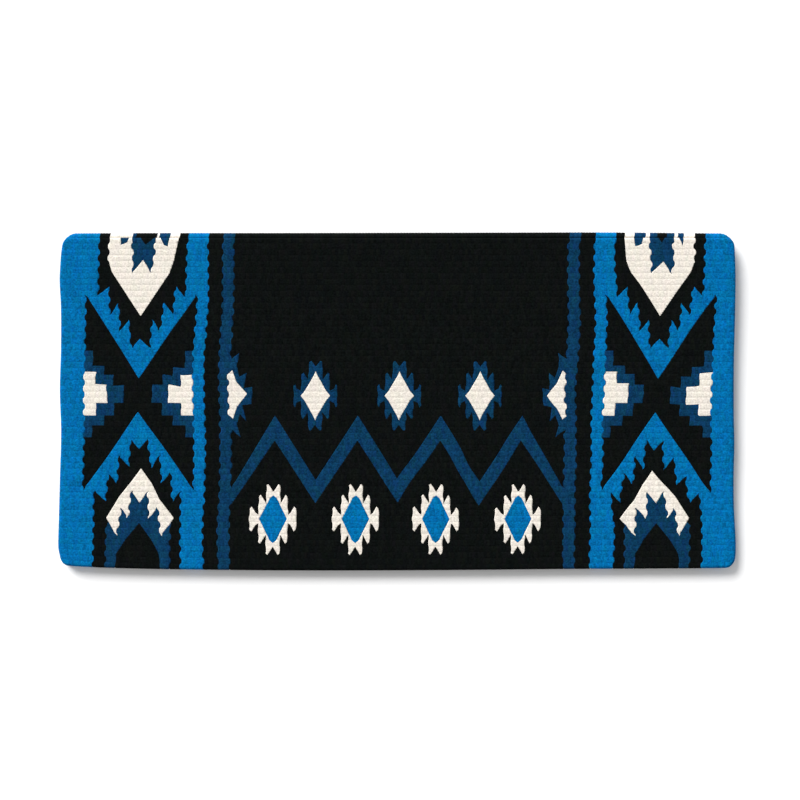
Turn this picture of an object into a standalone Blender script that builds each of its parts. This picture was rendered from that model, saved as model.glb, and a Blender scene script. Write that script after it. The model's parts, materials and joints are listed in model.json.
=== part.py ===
# Folded wool saddle blanket, weft-faced tapestry weave, in metres with +Z up.
# Its ribs run across the width (X), and each area of colour is a weft of its own, turned back where it
# meets the next, so each is a separate solid. The cloth is folded once over two ribs at +Y.
# The origin is the middle of the box that the folded cloth fits in, on the surface that it lies on.

import math

import bmesh
import bpy
from mathutils import Vector

# Driving sizes of the cloth.
blanket_width = 0.914
folded_depth = 0.456          # from the free edges to the outside of the fold
cloth_thickness = 0.008
gap = 0.0003                  # between neighbours that touch
free_corner_radius = 0.012
fold_corner_radius = 0.016
pattern_offset = 0.0034       # the weaver's middle lies this far to the right of the cloth's
weave_lean = 0.0062           # how far the stripes lean to the left from the fold to the free edge
cutter_overrun = 0.002
weld_distance = 0.00001

fold_hinges = 3
zigzag_turns = 3
corner_steps = 5
rib_sides = 24
solving_rounds = 8

# The ribs are as wide as the cloth is thick, so the fold turns over ribs of that pitch.
rib_pitch = cloth_thickness
half_thickness = cloth_thickness / 2
half_gap = gap / 2
# Every outline is cut back by half a gap, so the cloth's own edges are drawn that much further out.
half_width = blanket_width / 2 + half_gap


def fold_rise(turn):
    # Height that the middle of the cloth gains over the ribs of the fold.
    return sum(rib_pitch * math.sin(turn * rib) for rib in range(1, fold_hinges))


def rib_half_width(turn):
    # Widest rib of the cloth's thickness that stays on its side of the plane halfway round the bend.
    room = rib_pitch / 2 * math.cos(turn / 2) - half_gap
    return math.sqrt(room**2 - (half_thickness * math.sin(turn / 2)) ** 2) / math.cos(turn / 2)


def fold_reach(turn):
    # How far the first rib of the fold stands out past the hinge line.
    along = rib_half_width(turn) * math.cos(turn)
    across = half_thickness * math.sin(turn)
    return rib_pitch / 2 * math.cos(turn) + math.hypot(along, across)


# The upper half comes down a little from the fold until its free edge rests on the lower half.
tilt = 0.0
for _ in range(solving_rounds):
    hinge_turn = (math.pi + tilt) / fold_hinges
    half_length = folded_depth + half_gap - fold_reach(hinge_turn)
    fall = fold_rise(hinge_turn) - half_thickness * (1 + math.cos(tilt)) - gap
    tilt = math.asin(fall / half_length)

hinge_y = folded_depth / 2 - fold_reach(hinge_turn)

# Outlines are drawn in shares: across in shares of half the blanket's width, out from the pattern's
# middle, and up in shares of a half's length, from the free edge to the fold.
# Upper and lower saw-toothed edges of a band's blue ground, from its outer to its inner side.
upper_teeth_shares = [
    (0.9, 1), (0.898, 0.825), (0.868, 0.852), (0.863, 0.766), (0.838, 0.802), (0.832, 0.717),
    (0.807, 0.752), (0.798, 0.666), (0.773, 0.695), (0.743, 0.666), (0.737, 0.752), (0.713, 0.717),
    (0.704, 0.805), (0.678, 0.768), (0.672, 0.852), (0.643, 0.82), (0.635, 1),
]
lower_teeth_shares = [
    (0.903, 0), (0.903, 0.238), (0.87, 0.205), (0.862, 0.288), (0.836, 0.259), (0.831, 0.343),
    (0.802, 0.309), (0.795, 0.391), (0.77, 0.362), (0.745, 0.393), (0.736, 0.304), (0.71, 0.345),
    (0.704, 0.259), (0.677, 0.293), (0.671, 0.205), (0.646, 0.236), (0.644, 0),
]
# The cream diamond at the fold, and the navy that stands in it.
diamond_edge_shares = [
    (0.868, 1), (0.87, 0.932), (0.859, 0.896), (0.772, 0.763), (0.689, 0.893), (0.677, 0.929),
    (0.661, 1),
]
centre_edge_shares = [
    (0.836, 1), (0.833, 0.977), (0.809, 0.988), (0.801, 0.982), (0.797, 0.893), (0.77, 0.932),
    (0.743, 0.893), (0.736, 0.982), (0.728, 0.988), (0.704, 0.975), (0.696, 0.973), (0.689, 1),
]
# The hourglass at the band's middle, with stepped blocks on both of its sides.
outer_side_share = 0.936
inner_side_share = 0.609
hourglass_top_shares = [(outer_side_share, 0.829), (0.773, 0.575), (inner_side_share, 0.829)]
hourglass_foot_shares = [(inner_side_share, 0.238), (0.771, 0.475), (outer_side_share, 0.238)]
outer_steps_shares = [
    (outer_side_share, 0.659), (0.912, 0.659), (0.912, 0.614), (0.875, 0.614), (0.875, 0.589),
    (0.844, 0.589), (0.844, 0.557), (0.814, 0.557), (0.814, 0.502), (0.844, 0.502), (0.844, 0.464),
    (0.875, 0.464), (0.875, 0.434), (0.912, 0.434), (0.912, 0.398), (outer_side_share, 0.398),
]
outer_blocks_shares = [
    (outer_side_share, 0.596), (0.9, 0.596), (0.9, 0.561), (0.862, 0.561), (0.862, 0.502),
    (0.9, 0.502), (0.9, 0.464), (outer_side_share, 0.464),
]
# The cream chevron near the free edge, the navy under it and the black triangle at its foot.
outer_foot_share = (0.86, 0.143)
inner_foot_share = (0.673, 0.143)
chevron_back_shares = [
    (0.665, 0.154), (0.71, 0.211), (0.732, 0.257), (0.765, 0.304), (0.795, 0.263), (0.828, 0.221),
    (0.867, 0.155),
]
chevron_teeth_shares = [
    outer_foot_share, (0.836, 0.1), (0.823, 0.186), (0.803, 0.154), (0.793, 0.238), (0.769, 0.2),
    (0.744, 0.236), (0.741, 0.152), (0.714, 0.188), (0.705, 0.1), inner_foot_share,
]
outer_leg_shares = [(0.868, 0), (0.868, 0.132)]
inner_leg_shares = [(0.676, 0.132), (0.677, 0)]
triangle_shares = [
    (0.839, 0), (0.836, 0.045), (0.81, 0.088), (0.769, 0.139), (0.732, 0.088), (0.709, 0.046),
    (0.705, 0),
]
# Edges of the plain stripes, out from the pattern's middle.
strip_edge_share = 0.575
stripe_edge_share = 0.531
lattice_edge_share = 0.497
under_band_edge_shares = (0.901, 0.639)
# The zigzag between the navy stripes: its pitch, and its upper and lower line at peaks, valleys and ends.
zigzag_pitch_share = 0.123
peak_shares = (0.464, 0.388)
valley_shares = (0.269, 0.199)
zigzag_end_shares = (0.243, 0.192)
# Motifs of the middle, each a quarter from its top round to its side, about its own middle.
diamond_quarter_shares = [(0, 0.074), (0.006, 0.06), (0.023, 0.03), (0.032, 0.014), (0.044, 0)]
halo_quarter_shares = [
    (0, 0.088), (0.013, 0.105), (0.019, 0.103), (0.022, 0.049), (0.036, 0.07), (0.041, 0.066),
    (0.043, 0.015), (0.056, 0.022), (0.06, 0.035), (0.065, 0.03), (0.064, 0),
]
star_quarter_shares = [
    (0, 0.081), (0.015, 0.105), (0.02, 0.102), (0.0215, 0.0465), (0.037, 0.073), (0.042, 0.068),
    (0.044, 0.0125), (0.0515, 0.0185), (0.0625, 0.037), (0.068, 0.032), (0.07, 0),
]
star_centre_quarter_shares = [(0, 0.071), (0.01, 0.063), (0.041, 0)]
diamond_row_share = 0.523
diamond_column_shares = (-0.25, -0.001, 0.239)
star_row_share = 0.1515
star_column_shares = (-0.371, -0.126, 0.113, 0.359)
# The half diamonds at the navy stripes, and the outer edge of the navy round them.
half_diamond_shares = [
    (0.504, 0.464), (0.492, 0.454), (0.48, 0.489), (0.45, 0.529), (0.48, 0.564), (0.492, 0.6),
    (0.504, 0.589),
]
half_halo_shares = [
    (lattice_edge_share, 0.421), (0.47, 0.398), (0.481, 0.436), (0.472, 0.468), (0.453, 0.446),
    (0.464, 0.495), (0.437, 0.498), (0.434, 0.55), (0.459, 0.546), (0.451, 0.593), (0.472, 0.58),
    (0.479, 0.614), (0.473, 0.652), (lattice_edge_share, 0.634),
]

wool_colours = {
    "bright_blue_wool": (0.0018, 0.1714, 0.4851, 1),
    "navy_wool": (0.0060, 0.0545, 0.1620, 1),
    "black_wool": (0.0044, 0.0051, 0.0051, 1),
    "cream_wool": (0.8714, 0.8070, 0.7454, 1),
}


def clear_scene():
    for old in list(bpy.data.objects):
        bpy.data.objects.remove(old)


def new_collection(name, hidden=False):
    made = bpy.data.collections.new(name)
    made.hide_render = hidden
    bpy.context.scene.collection.children.link(made)
    return made


def make_wool(name, colour):
    wool = bpy.data.materials.new(name)
    wool.use_nodes = True
    shader = wool.node_tree.nodes["Principled BSDF"]
    shader.inputs["Base Color"].default_value = colour
    shader.inputs["Roughness"].default_value = 0.95
    shader.inputs["Metallic"].default_value = 0.0
    wool.diffuse_color = colour
    return wool


clear_scene()
blanket = new_collection("saddle_blanket")
cutters = new_collection("cutters", hidden=True)
wools = {name: make_wool(name, colour) for name, colour in wool_colours.items()}


def add_pivot(name, parent, location, turn):
    pivot = bpy.data.objects.new(name, None)
    pivot.parent = parent
    pivot.location = location
    pivot.rotation_euler.x = turn
    blanket.objects.link(pivot)
    return pivot


# Each hinge turns about X at the cloth's middle, and carries the next one a rib further on.
# The lower half runs from its pivot towards -Y. The upper half runs from the last one towards its own +Y.
lower_half = add_pivot("lower_half", None, (0, hinge_y, half_thickness), 0)
hinges = [add_pivot("fold_hinge_1", lower_half, (0, 0, 0), hinge_turn)]
for number in range(2, fold_hinges + 1):
    hinges.append(add_pivot(f"fold_hinge_{number}", hinges[-1], (0, rib_pitch, 0), hinge_turn))
bpy.context.view_layer.update()


def signed_area(points):
    return sum(a.x * b.y - b.x * a.y for a, b in zip(points, points[1:] + points[:1])) / 2


def inset(points, distance):
    # Moves every edge of a closed outline inwards, and gives the corners where the moved edges meet.
    side = distance if signed_area(points) > 0 else -distance
    moved = []
    for before, corner, after in zip(points[-1:] + points[:-1], points, points[1:] + points[:1]):
        one = (corner - before).normalized()
        two = (after - corner).normalized()
        across = Vector((-one.y - two.y, one.x + two.x))
        moved.append(corner + across * side / (1 + one.dot(two)))
    return moved


def outline_curve(name, outlines, half_height):
    curve = bpy.data.curves.new(name, "CURVE")
    curve.dimensions = "2D"
    curve.fill_mode = "BOTH"
    curve.extrude = half_height
    for points in outlines:
        spline = curve.splines.new("POLY")
        spline.points.add(len(points) - 1)
        for place, point in zip(spline.points, points):
            place.co = (point.x, point.y, 0, 1)
        spline.use_cyclic_u = True
    return curve


def solid_from_curve(name, curve, collection, parent, turned=(0, 0, 0)):
    # Makes the filled curve a closed mesh, with its caps welded to its sides.
    drawn = bpy.data.objects.new(name, curve)
    drawn.parent = parent
    drawn.rotation_euler = turned
    collection.objects.link(drawn)
    bpy.context.view_layer.update()
    mesh = bpy.data.meshes.new_from_object(drawn.evaluated_get(bpy.context.evaluated_depsgraph_get()))
    work = bmesh.new()
    work.from_mesh(mesh)
    bmesh.ops.remove_doubles(work, verts=work.verts, dist=weld_distance)
    bmesh.ops.recalc_face_normals(work, faces=work.faces)
    work.to_mesh(mesh)
    work.free()
    bpy.data.objects.remove(drawn)
    mesh.name = name
    solid = bpy.data.objects.new(name, mesh)
    solid.parent = parent
    solid.rotation_euler = turned
    collection.objects.link(solid)
    return solid


def prism_along_width(name, outline, half_length_x, collection, parent):
    # The outline is drawn along the cloth and up through it, and runs across the blanket.
    curve = outline_curve(name, [outline], half_length_x)
    return solid_from_curve(name, curve, collection, parent, (math.pi / 2, 0, math.pi / 2))


def add_mitre_cutter(name, parent, way):
    # Clears the inner side of a half where it bends towards the first rib of the fold.
    slope = math.tan(hinge_turn / 2)
    start = half_gap / math.cos(hinge_turn / 2)
    height = half_thickness + cutter_overrun
    outline = [
        Vector((way * start, 0)),
        Vector((way * (start + height * slope), height)),
        Vector((-way * cutter_overrun, height)),
        Vector((-way * cutter_overrun, 0)),
    ]
    cutter = prism_along_width(name, outline, half_width + cutter_overrun, cutters, parent)
    cutter.hide_render = True
    cutter.display_type = "WIRE"
    return cutter


halves = {
    "upper": {"parent": hinges[-1], "way": 1},
    "lower": {"parent": lower_half, "way": -1},
}
for half_name, half in halves.items():
    half["cutter"] = add_mitre_cutter(f"{half_name}_mitre_cutter", half["parent"], half["way"])


def place(half, across, up):
    # A point of the pattern, on the half's own plane, leaned as the stripes are.
    middle = pattern_offset + weave_lean * (up - 1 / 2)
    return Vector((middle + across * blanket_width / 2, half["way"] * half_length * (1 - up)))


def placed(half, points, side=1):
    return [place(half, side * across, up) for across, up in points]


def add_weft(name, wool, outline, holes=(), half=halves["upper"]):
    # One area of colour. It is cut back by half a gap from every neighbour.
    outlines = [inset(outline, half_gap)] + [inset(hole, -half_gap) for hole in holes]
    curve = outline_curve(name, outlines, half_thickness)
    weft = solid_from_curve(name, curve, blanket, half["parent"])
    weft.data.materials.append(wools[wool])
    if min(abs(point.y) for point in outline) < half_gap:
        cut = weft.modifiers.new("fold_mitre", "BOOLEAN")
        cut.object = half["cutter"]
        cut.solver = "EXACT"
    return weft


def rounded_side(half, side):
    # The outer edge of the cloth, from the free corner up to the fold.
    points = []
    for step in range(corner_steps + 1):
        angle = math.pi / 2 * step / corner_steps
        out = half_width - free_corner_radius * (1 - math.sin(angle))
        along = half_length - free_corner_radius * (1 - math.cos(angle))
        points.append(Vector((side * out, half["way"] * along)))
    top = fold_reach(hinge_turn)
    lowest = math.acos(top / fold_corner_radius) if top < fold_corner_radius else 0
    for step in range(corner_steps + 1):
        angle = lowest * step / corner_steps
        drop = fold_corner_radius * (1 - math.sin(angle)) - top
        if drop < 0:
            break
        out = half_width - fold_corner_radius * (1 - math.cos(angle))
        points.append(Vector((side * out, half["way"] * drop)))
    points.append(Vector((points[-1].x, 0)))
    return points


def add_band(side_name, side):
    upper = halves["upper"]

    def on_band(points):
        return placed(upper, points, side)

    strip_edge = [(strip_edge_share, 0), (strip_edge_share, 1)]
    ground = on_band(lower_teeth_shares + strip_edge + upper_teeth_shares[::-1])
    ground += rounded_side(upper, side)[::-1]
    hourglass = hourglass_top_shares + hourglass_foot_shares
    mirrored = inner_side_share + outer_side_share
    inner_steps = [(mirrored - across, up) for across, up in outer_steps_shares]
    inner_blocks = [(mirrored - across, up) for across, up in outer_blocks_shares]
    chevron = chevron_back_shares + chevron_teeth_shares
    legs = outer_leg_shares + chevron_teeth_shares + inner_leg_shares
    chevron_outside = [inner_foot_share] + chevron_back_shares + [outer_foot_share]
    shapes = {
        "upper_black": ("black_wool", upper_teeth_shares + diamond_edge_shares[::-1]),
        "cream_diamond": ("cream_wool", diamond_edge_shares + centre_edge_shares[::-1]),
        "navy_centre": ("navy_wool", centre_edge_shares),
        "black_hourglass": (
            "black_wool",
            hourglass_top_shares + inner_steps + hourglass_foot_shares + outer_steps_shares[::-1]),
        "outer_navy_steps": ("navy_wool", outer_steps_shares + outer_blocks_shares[::-1]),
        "inner_navy_steps": ("navy_wool", inner_steps + inner_blocks[::-1]),
        "outer_cream_blocks": ("cream_wool", outer_blocks_shares),
        "inner_cream_blocks": ("cream_wool", inner_blocks),
        "lower_black": (
            "black_wool",
            lower_teeth_shares + inner_leg_shares[::-1] + chevron_outside + outer_leg_shares[::-1]),
        "cream_chevron": ("cream_wool", chevron),
        "navy_chevron": ("navy_wool", legs + triangle_shares[::-1]),
        "black_triangle": ("black_wool", triangle_shares),
    }
    add_weft(f"{side_name}_blue_ground", "bright_blue_wool", ground, [on_band(hourglass)])
    for name, (wool, points) in shapes.items():
        add_weft(f"{side_name}_{name}", wool, on_band(points))
    stripe = strip_edge + [(stripe_edge_share, 1), (stripe_edge_share, 0)]
    add_weft(f"{side_name}_black_stripe", "black_wool", on_band(stripe))
    add_weft(f"{side_name}_half_diamond", "cream_wool", on_band(half_diamond_shares))


def zigzag(rank):
    # The upper line of the zigzag has rank 0, and the lower line rank 1.
    line = [(-lattice_edge_share, zigzag_end_shares[rank])]
    for turn in range(-zigzag_turns, zigzag_turns + 1):
        heights = peak_shares if turn % 2 else valley_shares
        line.append((turn * zigzag_pitch_share, heights[rank]))
    return line + [(lattice_edge_share, zigzag_end_shares[rank])]


def motif(quarter, column, middle_row):
    # Closes a motif from its quarter, clockwise from the top.
    right = quarter + [(across, -up) for across, up in quarter[-2::-1]]
    left = [(-across, up) for across, up in right[-2:0:-1]]
    return placed(halves["upper"], [(column + across, middle_row + up) for across, up in right + left])


def add_middle():
    upper = halves["upper"]
    left_halo = [(-across, up) for across, up in half_halo_shares]
    upper_side = left_halo[::-1] + zigzag(0) + half_halo_shares
    left_stripe = [(-lattice_edge_share, 0), (-stripe_edge_share, 0), (-stripe_edge_share, 1)]
    right_stripe = [(stripe_edge_share, 1), (stripe_edge_share, 0), (lattice_edge_share, 0)]
    above = [(-lattice_edge_share, 1)] + upper_side + [(lattice_edge_share, 1)]
    below = [(-lattice_edge_share, 0)] + zigzag(1) + [(lattice_edge_share, 0)]
    lattice = left_stripe + above + right_stripe + zigzag(1)[::-1]
    openings = [placed(upper, half_diamond_shares, side) for side in (-1, 1)]
    add_weft("navy_zigzag_and_stripes", "navy_wool", placed(upper, lattice), openings)
    halos = [motif(halo_quarter_shares, column, diamond_row_share) for column in diamond_column_shares]
    stars = [motif(star_quarter_shares, column, star_row_share) for column in star_column_shares]
    add_weft("black_field_above", "black_wool", placed(upper, above), halos)
    add_weft("black_field_below", "black_wool", placed(upper, below), stars)
    for number, (halo, column) in enumerate(zip(halos, diamond_column_shares), 1):
        diamond = motif(diamond_quarter_shares, column, diamond_row_share)
        add_weft(f"diamond_{number}_navy_halo", "navy_wool", halo, [diamond])
        add_weft(f"diamond_{number}_cream", "cream_wool", diamond)
    for number, (star, column) in enumerate(zip(stars, star_column_shares), 1):
        centre = motif(star_centre_quarter_shares, column, star_row_share)
        add_weft(f"star_{number}_cream_ring", "cream_wool", star, [centre])
        add_weft(f"star_{number}_blue_centre", "bright_blue_wool", centre)


def add_lower_half():
    # The half that lies underneath, in the plain stripes of its ground.
    lower = halves["lower"]
    outer, inner = under_band_edge_shares
    stripes = {
        "black_band": ("black_wool", outer, inner),
        "blue_strip": ("bright_blue_wool", inner, strip_edge_share),
        "black_stripe": ("black_wool", strip_edge_share, stripe_edge_share),
        "navy_stripe": ("navy_wool", stripe_edge_share, lattice_edge_share),
    }
    for side_name, side in (("left", -1), ("right", 1)):
        border = placed(lower, [(outer, 0), (outer, 1)], side)
        border += rounded_side(lower, side)[::-1]
        add_weft(f"under_{side_name}_blue_border", "bright_blue_wool", border, half=lower)
        for name, (wool, far, near) in stripes.items():
            points = [(near, 0), (far, 0), (far, 1), (near, 1)]
            add_weft(f"under_{side_name}_{name}", wool, placed(lower, points, side), half=lower)
    edge = lattice_edge_share
    field = [(-edge, 0), (edge, 0), (edge, 1), (-edge, 1)]
    add_weft("under_black_field", "black_wool", placed(lower, field), half=lower)


def add_fold_ribs():
    # The ribs that the cloth turns over, each between two hinges.
    wide = rib_half_width(hinge_turn)
    for number in range(1, fold_hinges):
        outline = []
        for side in range(rib_sides):
            angle = 2 * math.pi * side / rib_sides
            along = rib_pitch / 2 + wide * math.cos(angle)
            outline.append(Vector((along, half_thickness * math.sin(angle))))
        rib = prism_along_width(
            f"fold_rib_{number}", outline, half_width - fold_corner_radius / 2, blanket,
            hinges[number - 1])
        rib.data.materials.append(wools["black_wool"])
        rib.data.shade_smooth()
        rib.data.set_sharp_from_angle(angle=math.pi / 4)


for band_name, band_side in (("left", -1), ("right", 1)):
    add_band(band_name, band_side)
add_middle()
add_lower_half()
add_fold_ribs()
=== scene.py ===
import json
import math

import bmesh
import bpy
import numpy as np
from mathutils import Matrix, Vector

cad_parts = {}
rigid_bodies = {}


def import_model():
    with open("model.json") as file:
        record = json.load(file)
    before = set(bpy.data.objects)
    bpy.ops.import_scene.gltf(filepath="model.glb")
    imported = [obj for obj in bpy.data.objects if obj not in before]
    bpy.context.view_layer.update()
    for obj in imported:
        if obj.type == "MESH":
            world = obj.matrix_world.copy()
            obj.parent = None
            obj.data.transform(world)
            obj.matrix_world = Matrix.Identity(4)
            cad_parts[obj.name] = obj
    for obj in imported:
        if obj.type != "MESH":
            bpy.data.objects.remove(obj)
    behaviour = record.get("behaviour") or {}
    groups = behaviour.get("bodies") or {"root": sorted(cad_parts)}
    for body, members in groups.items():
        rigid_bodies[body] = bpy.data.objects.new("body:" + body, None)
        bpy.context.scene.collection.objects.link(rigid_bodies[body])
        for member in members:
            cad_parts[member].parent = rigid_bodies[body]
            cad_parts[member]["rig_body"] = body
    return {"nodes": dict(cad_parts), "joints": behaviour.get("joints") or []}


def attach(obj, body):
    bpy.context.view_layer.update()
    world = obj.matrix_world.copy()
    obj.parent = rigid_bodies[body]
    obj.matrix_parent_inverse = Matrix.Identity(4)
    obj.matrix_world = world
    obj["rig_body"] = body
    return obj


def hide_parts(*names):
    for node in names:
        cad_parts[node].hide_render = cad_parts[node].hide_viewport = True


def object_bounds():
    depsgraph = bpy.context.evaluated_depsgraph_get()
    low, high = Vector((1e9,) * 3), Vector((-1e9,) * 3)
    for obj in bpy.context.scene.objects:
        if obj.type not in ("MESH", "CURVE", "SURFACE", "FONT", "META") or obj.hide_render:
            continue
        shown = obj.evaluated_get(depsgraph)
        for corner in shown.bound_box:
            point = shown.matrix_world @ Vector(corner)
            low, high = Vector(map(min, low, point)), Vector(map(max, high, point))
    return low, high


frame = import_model()
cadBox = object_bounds()
scene = bpy.context.scene
scene.view_settings.view_transform = "Standard"

# Where the blanket lies in the photo, in pixels of a square picture.
photo = {
    "size": 800,
    "leftEdge": 60,
    "rightEdge": 734,
    "foldEdge": 233,
    "freeEdge": 569.5,
}
camera = {"lens": 85, "sensor": 36}


def addCamera():
    width = cadBox[1].x - cadBox[0].x
    pixel = width / (photo["rightEdge"] - photo["leftEdge"])
    middle = photo["size"] / 2
    across = middle - (photo["leftEdge"] + photo["rightEdge"]) / 2
    down = middle - (photo["foldEdge"] + photo["freeEdge"]) / 2
    centre = (cadBox[0] + cadBox[1]) / 2
    away = photo["size"] * pixel * camera["lens"] / camera["sensor"]
    data = bpy.data.cameras.new("camera")
    data.lens = camera["lens"]
    data.sensor_width = camera["sensor"]
    made = bpy.data.objects.new("camera", data)
    made.location = (centre.x + across * pixel, centre.y - down * pixel, cadBox[1].z + away)
    scene.collection.objects.link(made)
    scene.camera = made


addCamera()
print("camera placed")

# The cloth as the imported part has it, and the ribs and stitches of each half.
cloth = {
    "width": 0.914,
    "foldedDepth": 0.456,
    "thickness": 0.008,
    "packedGap": 0.0003,
    "freeCorner": 0.012,
    "ribs": 56,
    "stitches": 228,
}
joints = {joint["name"]: joint for joint in frame["joints"]}
hinges = [joints[name]["pos_m"][1:] for name in ("fold_low", "fold_mid", "fold_top")]
foldTurn = joints["fold_top"]["range_deg"][1]
# The part draws each half from its hinge to half a gap past the free edge, then cuts it back by as much.
halfLength = hinges[0][0] + cloth["foldedDepth"] / 2 + cloth["packedGap"] / 2
ribPitch = halfLength / cloth["ribs"]
stitchWidth = cloth["width"] / cloth["stitches"]
halfThickness = cloth["thickness"] / 2
foldPitch = cloth["thickness"]
weldDistance = 0.00001
lineShare = 1e-6          # a place this share of a rib before a line counts as past it
facing = 0.9              # a face that looks this squarely out of the cloth is an outer one

relief = {
    "rowsPerRib": 6,
    "columnsPerStitch": 2,
    "valley": 0.88,           # half thickness left between two ribs, as a share
    "stitchDepth": 0.00045,
    "uneven": 0.00012,        # how much the stitches differ in height
    "scallop": 0.0013,        # how far an upright edge of colour steps to and fro from rib to rib
    "shortScallop": 0.0004,   # the same for an edge shorter than shortEdge
    "shortEdge": 0.028,
    "scallopReach": 0.0035,
    "scallopStitches": 4,     # so many stitches step equally far
    "upright": 0.985,         # an edge is scalloped if this share of its length runs down the cloth
    "unevenScallop": 0.3,     # share by which the steps differ
    "rim": 0.0038,            # over this distance the cloth's edges round off
    "rimColumn": 0.0006,      # width of the last column of faces at the cloth's sides
    "foldThin": 0.35,         # thickness left where a half meets the fold, as a share
}
# How far the cloth's edges stand out from straight ones, at shares of the way along them: down from
# the fold, from 0 to 1, or from left to right, from -1 to 1.
edgeWaves = {
    "reach": 0.07,            # the waves fade out over this distance into the cloth
    "left": [
        (0, -0.0022), (0.026, -0.0021), (0.038, -0.0014), (0.05, -0.0008), (0.068, -0.0002), (0.12, 0.0012),
        (0.2, -0.0003), (0.34, -0.0003), (0.46, 0.0012), (0.58, -0.0003), (0.73, 0.0015),
        (0.85, 0.003), (0.93, 0.004), (1, 0.004),
    ],
    "right": [
        (0, 0.0012), (0.03, 0.0014), (0.05, 0.0018), (0.1, 0.0027), (0.23, 0.0023), (0.38, 0.0008),
        (0.54, 0.0009), (0.62, 0.0017), (0.73, 0.0007), (0.81, 0.0012), (0.9, 0.0034), (0.97, 0.0041),
        (1, 0.004),
    ],
    "free": [
        (-1, -0.005), (-0.95, -0.0034), (-0.88, -0.0018), (-0.74, 0), (-0.53, 0.0014), (0.2, 0.0015),
        (0.47, 0.0003), (0.76, -0.0004), (0.9, -0.0008), (1, -0.0012),
    ],
    "fold": [
        (-1, -0.0003), (-0.9, 0), (-0.3, 0.0004), (0.2, 0.0009), (0.7, 0.001), (0.9, 0), (1, -0.0003),
    ],
    "foldCorner": 0.019,      # radius of the corners at the fold
    "foldDepth": 0.0061,      # how far the fold stands out past the halves
    "cornerReach": 0.03,      # the rounding of a corner at the fold reaches this far in
    "ribEnd": 0.005,          # the fold ribs end this far inside the edges
}
# The free corners are cut off a little: across, down, pulled across, pulled down, reach.
cornerPulls = [(-0.457, 0.4415, 0.0022, -0.0020, 0.008), (0.4556, 0.444, -0.0014, -0.0014, 0.008)]
# Where the woven pattern lies off the drawn one: across, down, pulled across, pulled down, reach.
patternPulls = [
    (-0.253, 0.18, -0.0035, 0, 0.045),      # the left stripes bow outwards
    (-0.25, 0.4, -0.003, 0, 0.03),
    (-0.275, 0.09, 0.002, 0, 0.03),
    (0.245, 0.03, -0.0015, 0, 0.05),        # the right stripes lean, and the black one is wider
    (0.243, 0.2, -0.003, 0, 0.045),
    (0.245, 0.31, -0.0035, 0, 0.045),
    (0.245, 0.42, -0.0035, 0, 0.045),
    (0.27, 0.12, 0.0025, 0, 0.03),
    (0.27, 0.2, 0.003, 0, 0.03),
    (0.27, 0.3, 0.003, 0, 0.03),
    (0.27, 0.4, 0.0025, 0, 0.03),
    (0.218, 0.217, -0.0025, 0.003, 0.02),   # right half diamond
    (0.232, 0.2, -0.003, 0, 0.02),
    (0.43, 0.12, -0.0025, 0, 0.04),         # right border
    (0.43, 0.23, -0.005, 0, 0.06),
    (0.42, 0.335, -0.003, 0.004, 0.025),    # right end of the lower blue point
    (0.345, 0.27, -0.003, 0.001, 0.045),    # right lower blue point and its teeth
    (0.365, 0.31, -0.003, 0.003, 0.018),
    (0.305, 0.355, -0.005, 0.002, 0.02),
    (-0.349, 0.24, -0.0025, 0, 0.03),       # left lower blue point
    (-0.333, 0.02, 0.0025, 0, 0.015),       # left navy centre
    (0.37, 0.03, 0.005, 0.003, 0.015),      # right navy centre
    (0.316, 0.035, -0.0035, 0, 0.015),      # side of the right cream diamond
    (0.109, 0.355, -0.003, 0.0035, 0.02),   # right valley of the zigzag
    (0.17, 0.276, -0.002, 0, 0.02),         # and its right peak
    (0.1, 0.31, -0.003, 0.002, 0.015),
    (0.01, 0.33, -0.002, -0.002, 0.02),
    (-0.39, 0.2, -0.004, 0.002, 0.015),     # left stepped blocks
    (-0.285, 0.19, 0, 0.006, 0.015),
    (0.4, 0.2, 0, 0.005, 0.02),             # right stepped blocks
]
pullEdge = 0.012          # the pulls fade out over this distance to the cloth's edges
# Small areas of another wool at the fold, in a weft: its wool and its corners, across and down.
marks = {
    "left_navy_centre": [
        ("black_wool", [(-0.3484, -0.0005), (-0.3278, -0.0005), (-0.3412, 0.0099)]),
        ("cream_wool", [(-0.3629, -0.0005), (-0.3595, -0.0005), (-0.3595, 0.0123), (-0.3686, 0.0123)]),
        ("cream_wool", [(-0.3268, -0.0005), (-0.3214, -0.0005), (-0.3146, 0.0135), (-0.3287, 0.0135)]),
    ],
    "right_navy_centre": [
        ("black_wool", [(0.3542, -0.0005), (0.3640, -0.0005), (0.3591, 0.0072)]),
        ("cream_wool", [(0.3344, -0.0005), (0.3425, -0.0005), (0.3425, 0.0130), (0.3311, 0.0130)]),
        ("cream_wool", [(0.3758, -0.0005), (0.3822, -0.0005), (0.3890, 0.0140), (0.3758, 0.0140)]),
    ],
}
# The same marks where they run over the fold: from, to, wool.
foldMarks = [
    (-0.377, -0.3596, "cream_wool"), (-0.3546, -0.3268, "black_wool"), (-0.3261, -0.3233, "cream_wool"),
    (0.3370, 0.3422, "cream_wool"), (0.3524, 0.3657, "black_wool"), (0.3758, 0.3805, "cream_wool"),
]
# Random heights of the stitches and steps of the colour edges, with a few to spare on each side.
spare = 2
scallopColumns = 97
random = np.random.default_rng(7)
drawnRibs = cloth["ribs"] + 2 * spare
stitchHeights = random.uniform(-1, 1, (drawnRibs, cloth["stitches"] + 4 * spare))
scallopShares = 1 + relief["unevenScallop"] * random.uniform(-1, 1, (drawnRibs, scallopColumns))


def placeAt(hinge, turn):
    height = Vector((0, hinge[0], hinge[1]))
    return Matrix.Translation(height) @ Matrix.Rotation(math.radians(turn), 4, "X")


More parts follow.
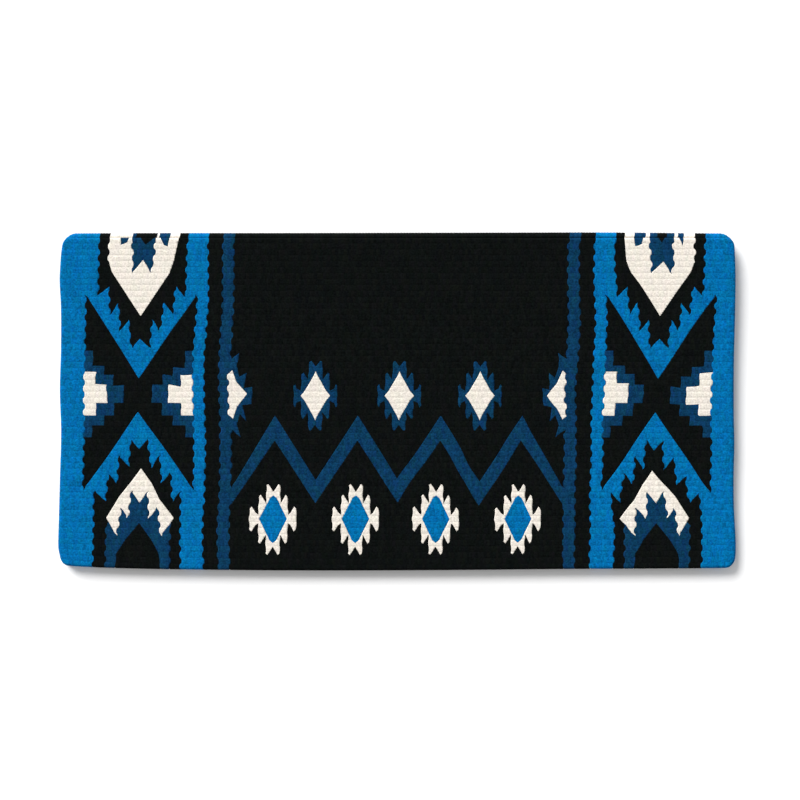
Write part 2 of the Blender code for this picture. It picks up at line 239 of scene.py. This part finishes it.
# From a half laid flat, x across and y away from the fold, to its place. The inner side is +z.
upperPlace = placeAt(hinges[-1], len(hinges) * foldTurn)
lowerPlace = placeAt(hinges[0], 0) @ Matrix.Diagonal((1, -1, 1, 1))

# Each dye, how much painted shade darkens its grooves, and how much its shade, its specks and its hue vary.
wools = {
    "bright_blue_wool": {
        "colour": (0.0003, 0.115, 0.302), "groove": 0.06, "vary": 0.23, "speckle": 1.5, "hue": 0.08},
    "navy_wool": {
        "colour": (0.0025, 0.0304, 0.0777), "groove": 0.06, "vary": 0.26, "speckle": 1.7, "hue": 0.12},
    "black_wool": {
        "colour": (0.0028, 0.0037, 0.0035), "groove": 0.05, "vary": 0.32, "speckle": 2, "hue": 0.12},
    "cream_wool": {
        "colour": (0.658, 0.612, 0.545), "groove": 0.02, "vary": 0.06, "speckle": 0.75, "hue": 0.015},
}
yarn = {
    "specular": 0.02,
    "sheen": 0.005,
    "sheenRoughness": 0.6,
    "stitchPower": 5,         # the higher, the narrower the grooves between stitches
    "ribPower": 7,            # the same between ribs
    "stitchGroove": 0.6,      # depth of the grooves between stitches, as a share of those between ribs
    "batch": (55, 3),         # scale and detail of the noises
    "fuzz": (1400, 4),
    "speckle": (430, 1),
    "noiseMiddle": 0.5,
    "fuzzShade": 0.6,
    "shadeMiddle": 1.3,       # mean of the noises that make a shade
    "twist": (2.2, 3),        # turns of the ply over one stitch, and over one rib
    "grooveHeight": -0.5,
    "plyHeight": 0.13,
    "fuzzHeight": 0.7,
    "bump": 0.5,
    "bumpDistance": 0.0006,
    "roughness": 0.84,
    "fuzzRoughness": 0.12,
}


def linkNodes(tree, start, end):
    tree.links.new(start, end)


def mathNode(tree, operation, first, second=None):
    node = tree.nodes.new("ShaderNodeMath")
    node.operation = operation
    for socket, value in zip(node.inputs, (first, second)):
        if isinstance(value, (int, float)):
            socket.default_value = value
        elif value is not None:
            linkNodes(tree, value, socket)
    return node.outputs[0]


def vectorNode(tree, operation, first, second):
    node = tree.nodes.new("ShaderNodeVectorMath")
    node.operation = operation
    linkNodes(tree, first, node.inputs[0])
    other = node.inputs["Scale"] if operation == "SCALE" else node.inputs[1]
    if isinstance(second, (int, float, tuple)):
        other.default_value = second
    else:
        linkNodes(tree, second, other)
    return node.outputs[0]


def noiseNode(tree, place, grain):
    node = tree.nodes.new("ShaderNodeTexNoise")
    scale, detail = grain
    node.inputs["Scale"].default_value = scale
    node.inputs["Detail"].default_value = detail
    linkNodes(tree, place, node.inputs["Vector"])
    return node.outputs["Fac"]


def grooveNode(tree, place, power):
    # Rises from 0 in the middle of each cell to 1 at its borders.
    part = mathNode(tree, "FRACT", place)
    across = mathNode(tree, "MULTIPLY", mathNode(tree, "SUBTRACT", part, 0.5), 2)
    return mathNode(tree, "POWER", mathNode(tree, "ABSOLUTE", across), power)


def makeWool(name, wool):
    material = bpy.data.materials.new(name + "_yarn")
    material.use_nodes = True
    tree = material.node_tree
    nodes = tree.nodes
    shader = nodes["Principled BSDF"]
    shader.inputs["Specular IOR Level"].default_value = yarn["specular"]
    shader.inputs["Sheen Weight"].default_value = yarn["sheen"]
    shader.inputs["Sheen Roughness"].default_value = yarn["sheenRoughness"]
    weave = nodes.new("ShaderNodeUVMap")
    weave.uv_map = "weave"
    parts = nodes.new("ShaderNodeSeparateXYZ")
    linkNodes(tree, weave.outputs[0], parts.inputs[0])
    across, along = parts.outputs[0], parts.outputs[1]
    stitchGroove = grooveNode(tree, across, yarn["stitchPower"])
    stitchGroove = mathNode(tree, "MULTIPLY", stitchGroove, yarn["stitchGroove"])
    groove = mathNode(tree, "MAXIMUM", stitchGroove, grooveNode(tree, along, yarn["ribPower"]))
    # Each stitch has its own shade.
    cell = nodes.new("ShaderNodeCombineXYZ")
    linkNodes(tree, mathNode(tree, "FLOOR", across), cell.inputs[0])
    linkNodes(tree, mathNode(tree, "FLOOR", along), cell.inputs[1])
    shade = nodes.new("ShaderNodeTexWhiteNoise")
    shade.noise_dimensions = "3D"
    linkNodes(tree, cell.outputs[0], shade.inputs["Vector"])
    # The yarn differs from batch to batch, and is fuzzy and speckled.
    place = nodes.new("ShaderNodeTexCoord").outputs["Object"]
    batch = noiseNode(tree, place, yarn["batch"])
    fuzz = noiseNode(tree, place, yarn["fuzz"])
    speckle = noiseNode(tree, place, yarn["speckle"])
    varied = mathNode(tree, "ADD", shade.outputs["Value"], batch)
    varied = mathNode(tree, "ADD", varied, mathNode(tree, "MULTIPLY", fuzz, yarn["fuzzShade"]))
    varied = mathNode(tree, "SUBTRACT", varied, yarn["shadeMiddle"])
    varied = mathNode(tree, "MULTIPLY", varied, wool["vary"])
    spots = mathNode(tree, "SUBTRACT", speckle, yarn["noiseMiddle"])
    spots = mathNode(tree, "MULTIPLY", spots, wool["speckle"])
    brightness = mathNode(tree, "ADD", mathNode(tree, "ADD", varied, spots), 1)
    # Painted shade: the colour is darkened in the grooves between ribs and stitches, where shade falls.
    paintedGrooveShade = mathNode(tree, "MULTIPLY", groove, wool["groove"])
    brightness = mathNode(tree, "MULTIPLY", brightness, mathNode(tree, "SUBTRACT", 1, paintedGrooveShade))
    # Its hue differs a little as well: the noise is centred, then scales each part of the colour.
    hue = vectorNode(tree, "SUBTRACT", shade.outputs["Color"], (yarn["noiseMiddle"],) * 3)
    hue = vectorNode(tree, "SCALE", hue, wool["hue"] * 2)
    hue = vectorNode(tree, "ADD", hue, (1, 1, 1))
    dyed = vectorNode(tree, "MULTIPLY", hue, wool["colour"])
    linkNodes(tree, vectorNode(tree, "SCALE", dyed, brightness), shader.inputs["Base Color"])
    # The ply of the yarn twists round each stitch.
    perStitch, perRib = yarn["twist"]
    twist = mathNode(tree, "MULTIPLY", across, perStitch)
    twist = mathNode(tree, "ADD", twist, mathNode(tree, "MULTIPLY", along, perRib))
    ply = mathNode(tree, "SINE", mathNode(tree, "MULTIPLY", twist, 2 * math.pi))
    height = mathNode(tree, "MULTIPLY", groove, yarn["grooveHeight"])
    height = mathNode(tree, "ADD", height, mathNode(tree, "MULTIPLY", ply, yarn["plyHeight"]))
    height = mathNode(tree, "ADD", height, mathNode(tree, "MULTIPLY", fuzz, yarn["fuzzHeight"]))
    bump = nodes.new("ShaderNodeBump")
    bump.inputs["Strength"].default_value = yarn["bump"]
    bump.inputs["Distance"].default_value = yarn["bumpDistance"]
    linkNodes(tree, height, bump.inputs["Height"])
    linkNodes(tree, bump.outputs[0], shader.inputs["Normal"])
    rough = mathNode(tree, "MULTIPLY", fuzz, yarn["fuzzRoughness"])
    linkNodes(tree, mathNode(tree, "ADD", rough, yarn["roughness"]), shader.inputs["Roughness"])
    return material


materials = {name: makeWool(name, wool) for name, wool in wools.items()}
print("wools dyed")


def lowest(face, axis):
    return min(vert.co[axis] for vert in face.verts)


def highest(face, axis):
    return max(vert.co[axis] for vert in face.verts)


axisWays = (Vector((1, 0, 0)), Vector((0, 1, 0)))


def cutLines(mesh, axis, step, shift=0.0):
    # Cuts the mesh along every line of a regular grid, each time only the faces that the line crosses.
    direction = axisWays[axis]
    mesh.faces.index_update()
    waiting = sorted(((lowest(face, axis), face.index, face) for face in mesh.faces), reverse=True)
    firstLine = math.ceil((waiting[-1][0] - shift) / step)
    lastLine = math.floor((max(highest(face, axis) for face in mesh.faces) - shift) / step)
    crossed = []
    for number in range(firstLine, lastLine + 1):
        line = number * step + shift
        while waiting and waiting[-1][0] < line - weldDistance:
            crossed.append(waiting.pop()[2])
        crossed = [face for face in crossed if highest(face, axis) > line + weldDistance]
        parts = dict.fromkeys(crossed)
        for face in crossed:
            parts.update(dict.fromkeys(face.verts))
            parts.update(dict.fromkeys(face.edges))
        cut = bmesh.ops.bisect_plane(
            mesh, geom=list(parts), dist=weldDistance, plane_co=direction * line, plane_no=direction)
        crossed = [part for part in cut["geom"] if isinstance(part, bmesh.types.BMFace)]


def cutThrough(mesh, place, away):
    everything = mesh.verts[:] + mesh.edges[:] + mesh.faces[:]
    bmesh.ops.bisect_plane(mesh, geom=everything, dist=weldDistance, plane_co=place, plane_no=away)


def cutOnce(mesh, axis, line):
    cutThrough(mesh, axisWays[axis] * line, axisWays[axis])


def growOutline(mesh, distance):
    # Moves each edge of the outline outwards, holes as well.
    outward = {}
    for edge in mesh.edges:
        if not edge.is_boundary:
            continue
        along = (edge.verts[1].co - edge.verts[0].co).normalized()
        away = Vector((along.y, -along.x, 0))
        inside = edge.link_faces[0].calc_center_median() - edge.verts[0].co
        if away.dot(inside) > 0:
            away = -away
        for vert in edge.verts:
            outward.setdefault(vert, []).append(away)
    for vert, sides in outward.items():
        one, two = sides[0], sides[-1]
        vert.co += (one + two) * distance / (1 + one.dot(two))


def smoothShare(part):
    part = np.clip(part, 0, 1)
    return part * part * (3 - 2 * part)


def pullShift(pulls, x, along):
    # How far each place is pulled across and down: the less, the further it lies from a pull.
    shift = np.zeros((2, len(x)))
    for across, down, pullAcross, pullDown, reached in pulls:
        near = np.exp(-((x - across) ** 2 + (along - down) ** 2) / (2 * reached**2))
        shift += np.outer((pullAcross, pullDown), near)
    return shift


def pulledPlace(x, along):
    # Moves places of the pattern in the cloth's plane, but not those on the cloth's edges.
    edge = np.minimum(cloth["width"] / 2 - np.abs(x), np.minimum(along, halfLength - along))
    return np.stack([x, along]) + smoothShare(edge / pullEdge) * pullShift(patternPulls, x, along)


def pullPattern(flat):
    # Divides a flat area coarsely, between the lines of its ribs and stitches, and pulls it into shape.
    cutLines(flat, 0, stitchWidth * 2, stitchWidth / relief["columnsPerStitch"] / 2)
    cutLines(flat, 1, ribPitch, ribPitch / relief["rowsPerRib"] / 2)
    for edge in flat.edges:
        edge.seam = not edge.is_boundary
    places = np.array([vert.co[:2] for vert in flat.verts])
    for vert, x, along in zip(flat.verts, *pulledPlace(places[:, 0], places[:, 1])):
        vert.co = (x, along, 0)


def layFlat(node):
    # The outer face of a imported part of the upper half, laid flat.
    flat = bmesh.new()
    flat.from_mesh(node.data)
    bmesh.ops.transform(flat, matrix=upperPlace.inverted(), verts=flat.verts)
    bmesh.ops.remove_doubles(flat, verts=flat.verts, dist=weldDistance)
    flat.normal_update()
    hidden = [face for face in flat.faces if face.normal.z > -facing]
    bmesh.ops.delete(flat, geom=hidden, context="FACES")
    for vert in flat.verts:
        vert.co.z = 0
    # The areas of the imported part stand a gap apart, and the real wefts touch.
    growOutline(flat, cloth["packedGap"] / 2)
    return flat


def isInside(place, corners):
    # The corners of a mark run round it one way.
    sides = []
    for one, two in zip(corners, corners[1:] + corners[:1]):
        along = Vector(two) - Vector(one)
        sides.append(along.cross(place - Vector(one)))
    return min(sides) >= 0 or max(sides) <= 0


def cutMarks(flat, marked):
    for _, corners in marked:
        for one, two in zip(corners, corners[1:] + corners[:1]):
            along = Vector(two) - Vector(one)
            cutThrough(flat, (*one, 0), Vector((along.y, -along.x, 0)).normalized())


def weaveSheet(flat, marked):
    # Divides a flat area into ribs and stitches, and gives it its thickness.
    cutMarks(flat, marked)
    rim = cloth["width"] / 2 - relief["rimColumn"]
    widest = max(abs(vert.co.x) for vert in flat.verts)
    cutLines(flat, 0, stitchWidth / relief["columnsPerStitch"])
    if widest > rim:
        for side in (-1, 1):
            cutOnce(flat, 0, side * rim)
    cutLines(flat, 1, ribPitch / relief["rowsPerRib"])
    diagonals = [edge for edge in flat.edges if edge.seam]
    bmesh.ops.dissolve_edges(flat, edges=diagonals, use_verts=True, use_face_split=False)
    used = []
    for face in flat.faces:
        face.material_index = 0
        middle = face.calc_center_median().xy
        for wool, corners in marked:
            if isInside(middle, corners):
                if wool not in used:
                    used.append(wool)
                face.material_index = used.index(wool) + 1
    raised = bmesh.ops.extrude_face_region(flat, geom=flat.faces[:])
    inner = [part for part in raised["geom"] if isinstance(part, bmesh.types.BMVert)]
    bmesh.ops.translate(flat, verts=inner, vec=Vector((0, 0, cloth["thickness"])))
    bmesh.ops.recalc_face_normals(flat, faces=flat.faces[:])
    for face in flat.faces:
        face.smooth = True
    return used


def edgeDistance(x, along):
    # Distance in from the cloth's outline, with the free corners rounded.
    side = cloth["width"] / 2 - np.abs(x)
    free = halfLength - along
    radius = cloth["freeCorner"]
    cornerX = np.maximum(radius - side, 0)
    cornerY = np.maximum(radius - free, 0)
    corner = radius - np.hypot(cornerX, cornerY)
    inCorner = (cornerX > 0) & (cornerY > 0)
    return np.maximum(np.where(inCorner, corner, np.minimum(side, free)), 0)


def rounding(distance):
    part = np.clip(distance / relief["rim"], 0, 1)
    return np.sqrt(1 - (1 - part) ** 2)


def smoothLine(points, place):
    # A smooth line through given points.
    at, value = np.array(points).T
    slope = np.gradient(value, at)
    place = np.clip(place, at[0], at[-1])
    after = np.clip(np.searchsorted(at, place), 1, len(at) - 1)
    span = at[after] - at[after - 1]
    part = (place - at[after - 1]) / span
    ends = value[after - 1] * (1 + 2 * part) * (1 - part) ** 2 + value[after] * (3 - 2 * part) * part**2
    slopes = slope[after - 1] * part * (1 - part) ** 2 - slope[after] * (1 - part) * part**2
    return ends + slopes * span


def fading(distance, reached):
    return smoothShare(1 - distance / reached)


def cornerArc(distance):
    # How far a corner at the fold stands back, at a distance from the edge that it turns into.
    radius = edgeWaves["foldCorner"]
    left = np.clip(radius - distance, 0, radius)
    return radius - np.sqrt(radius**2 - left**2)


def sideShift(x, along):
    down = along / halfLength
    half = cloth["width"] / 2
    left = smoothLine(edgeWaves["left"], down) * fading(half + x, edgeWaves["reach"])
    right = smoothLine(edgeWaves["right"], down) * fading(half - x, edgeWaves["reach"])
    return right - left


def warpedPlace(x, along):
    # Moves the cloth in its own plane, so that its edges wave as the real ones do.
    half = cloth["width"] / 2
    corners = fading(half + x, edgeWaves["cornerReach"]) - fading(half - x, edgeWaves["cornerReach"])
    corners *= cornerArc(edgeWaves["foldDepth"] + np.maximum(along, 0))
    free = smoothLine(edgeWaves["free"], x / half)
    free *= fading(halfLength - along, edgeWaves["reach"])
    pulledX, pulledAlong = pullShift(cornerPulls, x, along)
    return x + sideShift(x, along) + corners + pulledX, along + free + pulledAlong


def uprightEdges(flats):
    # The steep edges between two colours, in short pieces, each with how far it steps.
    found = set()
    for flat in flats:
        for edge in flat.edges:
            one, two = sorted((tuple(vert.co[:2]) for vert in edge.verts), key=lambda end: end[1])
            long = math.dist(one, two)
            steep = two[1] - one[1] >= relief["upright"] * long
            inside = abs(one[0]) < cloth["width"] / 2 - relief["rim"]
            if not (edge.is_boundary and steep and inside):
                continue
            step = relief["scallop"] if long > relief["shortEdge"] else relief["shortScallop"]
            share = np.linspace(0, 1, math.ceil(long / ribPitch) + 1)
            line = pulledPlace(one[0] + share * (two[0] - one[0]), one[1] + share * (two[1] - one[1]))
            # Rounded to 0.1 mm, so that an edge that two areas share is found once.
            points = np.round(np.stack(line, axis=1), 4)
            found.update((*start, *end, step) for start, end in zip(points[:-1], points[1:]))
    return sorted(found)


def scallopSteps(x, along):
    # How far each place steps to and fro: fully at a steep edge of colour, less beside it.
    away = np.full(len(x), np.inf)
    steps = np.zeros(len(x))
    most = 3 * relief["scallopReach"]
    order = np.argsort(along)
    sortedX, sortedAlong = x[order], along[order]
    for oneX, oneY, twoX, twoY, step in uprights:
        first, last = np.searchsorted(sortedAlong, (oneY - most, twoY + most))
        if first == last:
            continue
        part = np.clip((sortedAlong[first:last] - oneY) / max(twoY - oneY, weldDistance), 0, 1)
        gap = np.hypot(
            sortedX[first:last] - oneX - part * (twoX - oneX),
            sortedAlong[first:last] - oneY - part * (twoY - oneY))
        nearer = gap < away[first:last]
        away[first:last][nearer] = gap[nearer]
        steps[first:last][nearer] = step
    found = np.empty(len(x))
    found[order] = steps * np.exp(-((away / relief["scallopReach"]) ** 2))
    # The steps differ from rib to rib.
    rib = np.floor(along / ribPitch + lineShare).astype(int) + spare
    column = np.floor((x + cloth["width"]) / stitchWidth / relief["scallopStitches"]).astype(int)
    return found * scallopShares[rib, column % scallopColumns]


def ribShape(x, along, parity):
    # Half the cloth's thickness, and the way that each rib's stitches step, at each place.
    rib = np.floor(along / ribPitch + lineShare).astype(int)
    part = along / ribPitch - rib
    arch = np.sqrt(np.maximum(1 - (2 * part - 1) ** 2, 0))
    height = halfThickness * (relief["valley"] + (1 - relief["valley"]) * arch)
    odd = (rib + parity) % 2
    stitch = np.abs(np.sin(math.pi * (x / stitchWidth + odd / 2)))
    number = np.floor(x / stitchWidth + odd / 2).astype(int) + cloth["stitches"] // 2 + spare
    lift = stitchHeights[rib + spare, number] * relief["uneven"] * stitch
    height += (lift - relief["stitchDepth"] * (1 - stitch)) * arch
    height *= rounding(edgeDistance(x, along))
    height *= relief["foldThin"] + (1 - relief["foldThin"]) * rounding(along)
    return height, np.where(odd == 0, 1, -1) * arch


def storeWeave(data, x, ribs, parity):
    # Counts the stitches across and the ribs along, and sets each rib half a stitch off from the last.
    corners = np.empty(len(data.loops), np.int32)
    data.loops.foreach_get("vertex_index", corners)
    totals = np.empty(len(data.polygons), np.int32)
    data.polygons.foreach_get("loop_total", totals)
    face = np.repeat(np.arange(len(totals)), totals)
    middle = np.bincount(face, ribs[corners]) / totals
    odd = (np.floor(middle) + parity) % 2
    across = x[corners] / stitchWidth + odd[face] / 2 + cloth["stitches"]
    weave = np.stack([across, ribs[corners] + cloth["ribs"] * (parity + 1)], axis=1)
    data.uv_layers.new(name="weave").data.foreach_set("uv", weave.astype(np.float32).ravel())


def readPoints(mesh, name):
    data = bpy.data.meshes.new(name)
    mesh.to_mesh(data)
    points = np.empty(len(data.vertices) * 3)
    data.vertices.foreach_get("co", points)
    return data, points.reshape(-1, 3)


def finishSheet(mesh, name, place, parity, flip, steps):
    data, points = readPoints(mesh, name)
    x, along = points[:, 0].copy(), points[:, 1].copy()
    inner = points[:, 2] > halfThickness
    height, way = ribShape(x, along, parity)
    stepped = x + way * steps
    points[:, 0], points[:, 1] = warpedPlace(stepped, along)
    points[:, 2] = np.where(inner, height, -height)
    data.vertices.foreach_set("co", points.ravel())
    storeWeave(data, stepped, along / ribPitch, parity)
    data.transform(place)
    if flip:
        data.flip_normals()
    data.update()
    return data


def addPiece(name, data, body, *dyed):
    piece = bpy.data.objects.new(name, data)
    scene.collection.objects.link(piece)
    for wool in dyed:
        data.materials.append(materials[wool])
    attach(piece, body)
    return piece


def nodesOn(body):
    return sorted(name for name, node in frame["nodes"].items() if node["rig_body"] == body)


def woolOf(node):
    name = frame["nodes"][node].data.materials[0].name
    return name.split(".")[0]


def coloursAtFold():
    # Colours along the fold, from the wefts that reach it: the narrowest comes last and covers the rest.
    found = []
    for node, flat in flats.items():
        reached = [vert.co.x for vert in flat.verts if abs(vert.co.y) < foldNear]
        if len(reached) > 1:
            found.append((min(reached), max(reached), woolOf(node)))
    return sorted(found, key=lambda area: area[0] - area[1])


foldNear = 0.0004         # a weft that comes this near to the fold runs over it
flats = {node: layFlat(frame["nodes"][node]) for node in nodesOn("upper_half")}
uprights = uprightEdges(flats.values())
foldColours = coloursAtFold() + foldMarks
upperWefts, lowerWefts = [], []
for node, flat in flats.items():
    pullPattern(flat)
    dyed = [woolOf(node)] + weaveSheet(flat, marks.get(node, []))
    places = np.array([vert.co[:2] for vert in flat.verts])
    steps = scallopSteps(places[:, 0], places[:, 1])
    name = node + "_weft"
    upper = addPiece(name, finishSheet(flat, name, upperPlace, 0, False, steps), "upper_half", *dyed)
    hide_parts(node)
    upperWefts.append(upper)
    name = "under_" + name
    lower = addPiece(name, finishSheet(flat, name, lowerPlace, 1, True, steps), "lower_half", *dyed)
    lowerWefts.append(lower)
    flat.free()
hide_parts(*nodesOn("lower_half"))
print("halves woven", len(upperWefts), len(lowerWefts))

foldRib = {
    "sides": 16,
    "across": 0.006,          # half its width
    "thick": 0.0041,          # half its thickness
    "taper": 0.3,             # how much thinner it gets at its ends, as a share of the corner's rounding
    "bend": 0.81,             # how far its ends bend inwards, as a share of the same
    "groove": 0.45,           # how near its sides come to the grooves, where 0.5 is in them
}


def addFoldRib(number, colours):
    name = f"fold_rib_{number}"
    work = bmesh.new()
    bmesh.ops.create_cone(
        work, cap_ends=True, cap_tris=False, segments=foldRib["sides"], radius1=foldPitch / 2,
        radius2=foldPitch / 2, depth=cloth["width"] - 2 * edgeWaves["ribEnd"])
    bmesh.ops.rotate(work, verts=work.verts, matrix=Matrix.Rotation(math.pi / 2, 3, "Y"))
    cutLines(work, 0, stitchWidth / relief["columnsPerStitch"])
    for low, high, _ in colours:
        for line in (low, high):
            if abs(line) < cloth["width"] / 2 - weldDistance:
                cutOnce(work, 0, line)
    names = list(wools)
    for face in work.faces:
        middle = face.calc_center_median().x
        face.smooth = True
        for low, high, wool in colours:
            if low < middle < high:
                face.material_index = names.index(wool)
    bmesh.ops.recalc_face_normals(work, faces=work.faces[:])
    data, points = readPoints(work, name + "_weft")
    work.free()
    x = points[:, 0].copy()
    angle = np.arctan2(points[:, 2], points[:, 1])
    stitch = 1 - np.abs(np.sin(math.pi * x / stitchWidth))
    # The ends taper and bend inwards, so that the folded corners are round.
    drop = cornerArc(cloth["width"] / 2 - np.abs(x))
    thinner = relief["stitchDepth"] * stitch + foldRib["taper"] * drop
    way = 1 if number % 2 == 0 else -1
    lines = np.array([area[:2] for area in colours]).ravel()
    near = np.abs(x[:, None] - lines).min(axis=1)
    step = np.exp(-((near / relief["scallopReach"]) ** 2)) * np.abs(np.sin(angle))
    points[:, 0] += way * relief["scallop"] * step + sideShift(x, np.zeros(len(x)))
    bulge = smoothLine(edgeWaves["fold"], x / cloth["width"] * 2)
    points[:, 1] = foldPitch / 2 + (foldRib["across"] - thinner) * np.cos(angle)
    points[:, 2] = (foldRib["thick"] - thinner) * np.sin(angle) - bulge + foldRib["bend"] * drop
    data.vertices.foreach_set("co", points.ravel())
    storeWeave(data, points[:, 0], 0.5 + foldRib["groove"] * np.cos(angle), number % 2)
    data.transform(placeAt(hinges[number - 1], number * foldTurn))
    piece = addPiece(name + "_weft", data, f"rib_{number}", *names)
    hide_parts(name)


for number in range(1, len(hinges)):
    addFoldRib(number, foldColours)
print("fold woven")

warp = {
    "diameter": 0.0045,
    "sides": 8,
    "inset": 0.006,           # the warps end this far inside the cloth's edges
    "step": 0.02,             # they are cut at this distance, to bend with the cloth
}


def addWarps(name, place, body):
    work = bmesh.new()
    for rib in range(cloth["ribs"]):
        made = bmesh.ops.create_cone(
            work, cap_ends=True, cap_tris=False, segments=warp["sides"], radius1=warp["diameter"] / 2,
            radius2=warp["diameter"] / 2, depth=cloth["width"] - 2 * warp["inset"])
        bmesh.ops.rotate(work, verts=made["verts"], matrix=Matrix.Rotation(math.pi / 2, 3, "Y"))
        middle = (rib + 0.5) * ribPitch
        bmesh.ops.translate(work, verts=made["verts"], vec=Vector((0, middle, 0)))
    cutLines(work, 0, warp["step"])
    places = np.array([vert.co[:2] for vert in work.verts])
    for vert, x, along in zip(work.verts, *warpedPlace(places[:, 0], places[:, 1])):
        vert.co.xy = (x, along)
    bmesh.ops.transform(work, matrix=place, verts=work.verts)
    bmesh.ops.recalc_face_normals(work, faces=work.faces[:])
    data = bpy.data.meshes.new(name)
    for face in work.faces:
        face.smooth = len(face.verts) == 4
    work.to_mesh(data)
    work.free()
    data.uv_layers.new(name="weave")
    piece = addPiece(name, data, body, "cream_wool")


addWarps("warps_upper", upperPlace, "upper_half")
addWarps("warps_lower", lowerPlace, "lower_half")
print("warps strung")

stage = {"floor": 30.0, "colour": (0.95, 0.95, 0.95, 1), "roughness": 0.9, "below": 0.0002}


def addFloor():
    work = bmesh.new()
    bmesh.ops.create_grid(work, x_segments=1, y_segments=1, size=stage["floor"] / 2)
    data = bpy.data.meshes.new("floor")
    work.to_mesh(data)
    work.free()
    floor = bpy.data.objects.new("floor", data)
    floor.location.z = -stage["below"]
    scene.collection.objects.link(floor)
    paint = bpy.data.materials.new("pale_floor")
    paint.use_nodes = True
    shader = paint.node_tree.nodes["Principled BSDF"]
    shader.inputs["Base Color"].default_value = stage["colour"]
    shader.inputs["Roughness"].default_value = stage["roughness"]
    data.materials.append(paint)


addFloor()

light = {
    "sky": 0.5,
    "sun": 5.6,
    "sunAngle": 40,           # degrees across the softbox, for its soft shadow
    "sunFrom": (-1.05, 1.4, 1),
}


def addLights():
    world = bpy.data.worlds.new("studio")
    scene.world = world
    world.use_nodes = True
    sky = world.node_tree.nodes.get("Background")
    sky.inputs["Color"].default_value = (1, 1, 1, 1)
    sky.inputs["Strength"].default_value = light["sky"]
    data = bpy.data.lights.new("softbox", "SUN")
    data.energy = light["sun"]
    data.angle = math.radians(light["sunAngle"])
    lamp = bpy.data.objects.new("softbox", data)
    lamp.rotation_euler = Vector(light["sunFrom"]).to_track_quat("Z", "Y").to_euler()
    scene.collection.objects.link(lamp)


addLights()
print("stage lit")
